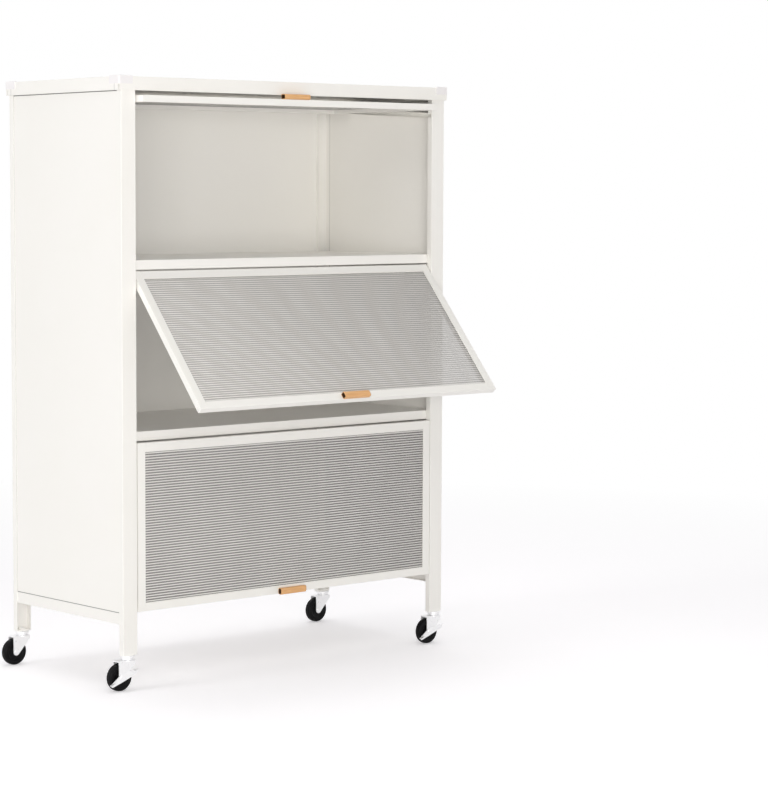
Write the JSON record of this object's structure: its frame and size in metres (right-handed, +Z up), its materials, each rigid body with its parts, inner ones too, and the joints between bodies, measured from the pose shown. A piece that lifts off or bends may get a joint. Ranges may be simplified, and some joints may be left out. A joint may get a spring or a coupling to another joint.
{
  "type": "storage cabinet",
  "caption": "Wheeled steel kitchen cabinet. Each compartment has a ribbed flip-up door on side rollers that tips out and slides in flat under the shelf above.",
  "frame": {"origin": "on the floor under the middle of the cabinet's plan", "axes": "+Z up, -Y out of the doors, +X to the right as one faces the doors"},
  "size_m": [0.8285, 0.5463, 1.1015],
  "materials": {
    "body_paint": "warm white powder coat, satin",
    "door_frame_paint": "white coat, satin",
    "track_paint": "light grey white, satin",
    "ribbed_panel": "translucent ribbed sheet",
    "handle_plastic": "moulded, satin",
    "cap_plastic": "moulded, satin",
    "zinc": "bright zinc plate",
    "pin_steel": "turned",
    "roller_plastic": "moulded",
    "wheel_black": "moulded, satin"
  },
  "bodies": {
    "cabinet": {"top_plate": "body_paint", "top_rim": "body_paint", "corner_caps": "cap_plastic", "post_fl": "body_paint", "post_fr": "body_paint", "post_rl": "body_paint", "post_rr": "body_paint", "side_panel_left": "body_paint", "side_panel_right": "body_paint", "side_rail_left": "body_paint", "side_rail_right": "body_paint", "back_panel": "body_paint", "shelf_under_bottom_door": "body_paint", "shelf_under_middle_door": "body_paint", "shelf_under_top_door": "body_paint", "tracks_bottom": "track_paint", "tracks_middle": "track_paint", "tracks_top": "track_paint", "foot_plates": "body_paint", "caster_stems": "zinc", "stem_nuts": "body_paint"},
    "bottom_door_carriage": {"door_bottom_pins": "pin_steel", "door_bottom_rollers": "roller_plastic"},
    "bottom_door": {"door_bottom_top_rail": "door_frame_paint", "door_bottom_bottom_rail": "door_frame_paint", "door_bottom_left_stile": "door_frame_paint", "door_bottom_right_stile": "door_frame_paint", "door_bottom_panel": "ribbed_panel", "door_bottom_handle": "handle_plastic"},
    "middle_door_carriage": {"door_middle_pins": "pin_steel", "door_middle_rollers": "roller_plastic"},
    "middle_door": {"door_middle_top_rail": "door_frame_paint", "door_middle_bottom_rail": "door_frame_paint", "door_middle_left_stile": "door_frame_paint", "door_middle_right_stile": "door_frame_paint", "door_middle_panel": "ribbed_panel", "door_middle_handle": "handle_plastic"},
    "top_door_carriage": {"door_top_pins": "pin_steel", "door_top_rollers": "roller_plastic"},
    "top_door": {"door_top_top_rail": "door_frame_paint", "door_top_bottom_rail": "door_frame_paint", "door_top_left_stile": "door_frame_paint", "door_top_right_stile": "door_frame_paint", "door_top_panel": "ribbed_panel", "door_top_handle": "handle_plastic"},
    "caster_fl_swivel": {"caster_fl_fork": "zinc", "caster_fl_axle": "zinc"},
    "caster_fl_rolling": {"caster_fl_wheel": "wheel_black"},
    "caster_fl_brake": {"caster_fl_brake_lever": "zinc"},
    "caster_fr_swivel": {"caster_fr_fork": "zinc", "caster_fr_axle": "zinc"},
    "caster_fr_rolling": {"caster_fr_wheel": "wheel_black"},
    "caster_fr_brake": {"caster_fr_brake_lever": "zinc"},
    "caster_rl_swivel": {"caster_rl_fork": "zinc", "caster_rl_axle": "zinc"},
    "caster_rl_rolling": {"caster_rl_wheel": "wheel_black"},
    "caster_rr_swivel": {"caster_rr_fork": "zinc", "caster_rr_axle": "zinc"},
    "caster_rr_rolling": {"caster_rr_wheel": "wheel_black"}
  },
  "joints": [
    {"name": "bottom_door_slide", "type": "slide", "parent": "cabinet", "child": "bottom_door_carriage", "axis": [0, 0.9988, 0.0494], "range_m": [0, 0.26332]},
    {"name": "bottom_door_tilt", "type": "hinge", "parent": "bottom_door_carriage", "child": "bottom_door", "pos_m": [0, -0.169, 0.428], "axis": [-1, 0, 0], "range_deg": [0, 90]},
    {"name": "middle_door_slide", "type": "slide", "parent": "cabinet", "child": "middle_door_carriage", "axis": [0, 0.9988, 0.0494], "range_m": [0, 0.26332]},
    {"name": "middle_door_tilt", "type": "hinge", "parent": "middle_door_carriage", "child": "middle_door", "pos_m": [0, -0.169, 0.7365], "axis": [-1, 0, 0], "range_deg": [-40, 50]},
    {"name": "top_door_slide", "type": "slide", "parent": "cabinet", "child": "top_door_carriage", "axis": [0, 0.9982, 0.0607], "range_m": [-0.26349, 0]},
    {"name": "top_door_tilt", "type": "hinge", "parent": "top_door_carriage", "child": "top_door", "pos_m": [0, 0.094, 1.061], "axis": [-1, 0, 0], "range_deg": [-90, 0]},
    {"name": "caster_fl_turn", "type": "hinge", "parent": "cabinet", "child": "caster_fl_swivel", "pos_m": [-0.3805, -0.1675, 0.06], "axis": [0, 0, 1], "continuous": true},
    {"name": "caster_fl_roll", "type": "hinge", "parent": "caster_fl_swivel", "child": "caster_fl_rolling", "pos_m": [-0.3995, -0.1675, 0.025], "axis": [0, 1, 0], "continuous": true},
    {"name": "caster_fl_brake_press", "type": "hinge", "parent": "caster_fl_swivel", "child": "caster_fl_brake", "pos_m": [-0.3995, -0.1675, 0.025], "axis": [0, 1, 0], "range_deg": [0, 20]},
    {"name": "caster_fr_turn", "type": "hinge", "parent": "cabinet", "child": "caster_fr_swivel", "pos_m": [0.3805, -0.1675, 0.06], "axis": [0, 0, 1], "continuous": true},
    {"name": "caster_fr_roll", "type": "hinge", "parent": "caster_fr_swivel", "child": "caster_fr_rolling", "pos_m": [0.3615, -0.1675, 0.025], "axis": [0, 1, 0], "continuous": true},
    {"name": "caster_fr_brake_press", "type": "hinge", "parent": "caster_fr_swivel", "child": "caster_fr_brake", "pos_m": [0.3615, -0.1675, 0.025], "axis": [0, 1, 0], "range_deg": [0, 20]},
    {"name": "caster_rl_turn", "type": "hinge", "parent": "cabinet", "child": "caster_rl_swivel", "pos_m": [-0.3805, 0.1675, 0.06], "axis": [0, 0, 1], "continuous": true},
    {"name": "caster_rl_roll", "type": "hinge", "parent": "caster_rl_swivel", "child": "caster_rl_rolling", "pos_m": [-0.3995, 0.1675, 0.025], "axis": [0, 1, 0], "continuous": true},
    {"name": "caster_rr_turn", "type": "hinge", "parent": "cabinet", "child": "caster_rr_swivel", "pos_m": [0.3805, 0.1675, 0.06], "axis": [0, 0, 1], "continuous": true},
    {"name": "caster_rr_roll", "type": "hinge", "parent": "caster_rr_swivel", "child": "caster_rr_rolling", "pos_m": [0.3615, 0.1675, 0.025], "axis": [0, 1, 0], "continuous": true}
  ],
  "couplings": [
    {"joint": "bottom_door_slide", "follows": "bottom_door_tilt", "m_per_rad": 0.16764},
    {"joint": "top_door_slide", "follows": "top_door_tilt", "m_per_rad": 0.16774}
  ]
}
